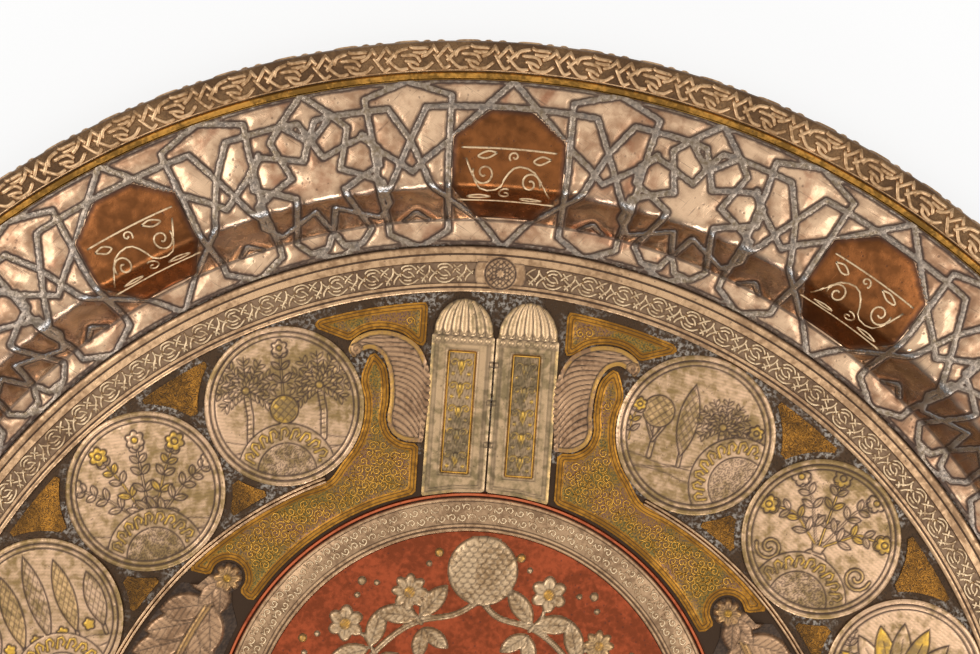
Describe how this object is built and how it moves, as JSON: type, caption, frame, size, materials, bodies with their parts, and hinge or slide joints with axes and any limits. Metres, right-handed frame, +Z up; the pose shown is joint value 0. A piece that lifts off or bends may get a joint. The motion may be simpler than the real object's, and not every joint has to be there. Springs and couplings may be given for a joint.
{
  "type": "charger plate",
  "caption": "Round metal charger plate with a flat rim over a stepped well, strapwork and plaques on rim and wall, and medallions round an off-centre roundel.",
  "frame": {"origin": "centre of the flat underside", "axes": "+Z up, +Y towards the pair of arched panels"},
  "size_m": [0.6496, 0.6496, 0.0252],
  "materials": {
    "body_brass": "beaten brass, dull, with dark patina in the recesses",
    "gold_brass": "golden brass, engraved, half matt",
    "bronze_silver": "silver gone pale bronze over dark ground",
    "silver": "worn warm silver, satin",
    "coin_silver": "grey-tan silver, satin, engraved",
    "copper": "orange-brown copper, polished",
    "red_copper": "brick-red copper, matt"
  },
  "bodies": {
    "root": {"dish": "body_brass", "rim_interlace_band": "bronze_silver", "rim_wire": "gold_brass", "silver_strapwork": "silver", "copper_plaque_01": "copper", "copper_plaque_02": "copper", "copper_plaque_03": "copper", "copper_plaque_04": "copper", "copper_plaque_05": "copper", "copper_plaque_06": "copper", "copper_plaque_07": "copper", "copper_plaque_08": "copper", "copper_plaque_09": "copper", "copper_plaque_10": "copper", "copper_plaque_11": "copper", "copper_plaque_12": "copper", "inner_interlace_band": "silver", "band_boss_01": "silver", "band_boss_02": "silver", "band_boss_03": "silver", "band_boss_04": "silver", "medallion_01": "coin_silver", "medallion_02": "coin_silver", "medallion_03": "coin_silver", "medallion_04": "coin_silver", "medallion_05": "coin_silver", "medallion_06": "coin_silver", "medallion_07": "coin_silver", "medallion_08": "coin_silver", "medallion_09": "coin_silver", "medallion_10": "coin_silver", "medallion_11": "coin_silver", "medallion_12": "coin_silver", "medallion_13": "coin_silver", "medallion_14": "coin_silver", "medallion_15": "coin_silver", "medallion_16": "coin_silver", "border_wire": "silver", "roundel_disc": "red_copper", "roundel_ring": "coin_silver", "roundel_wire": "copper", "roundel_wreath": "silver", "arched_panel_right": "silver", "inlay_frame_right": "gold_brass", "feathered_leaf_right": "silver", "corner_panel_right": "gold_brass", "long_panel_right": "gold_brass", "side_spray_right": "silver", "lower_panel_right": "gold_brass", "arched_panel_left": "silver", "inlay_frame_left": "gold_brass", "feathered_leaf_left": "silver", "corner_panel_left": "gold_brass", "long_panel_left": "gold_brass", "side_spray_left": "silver", "lower_panel_left": "gold_brass", "cartouche": "silver", "lower_spandrel": "gold_brass"}
  },
  "joints": []
}
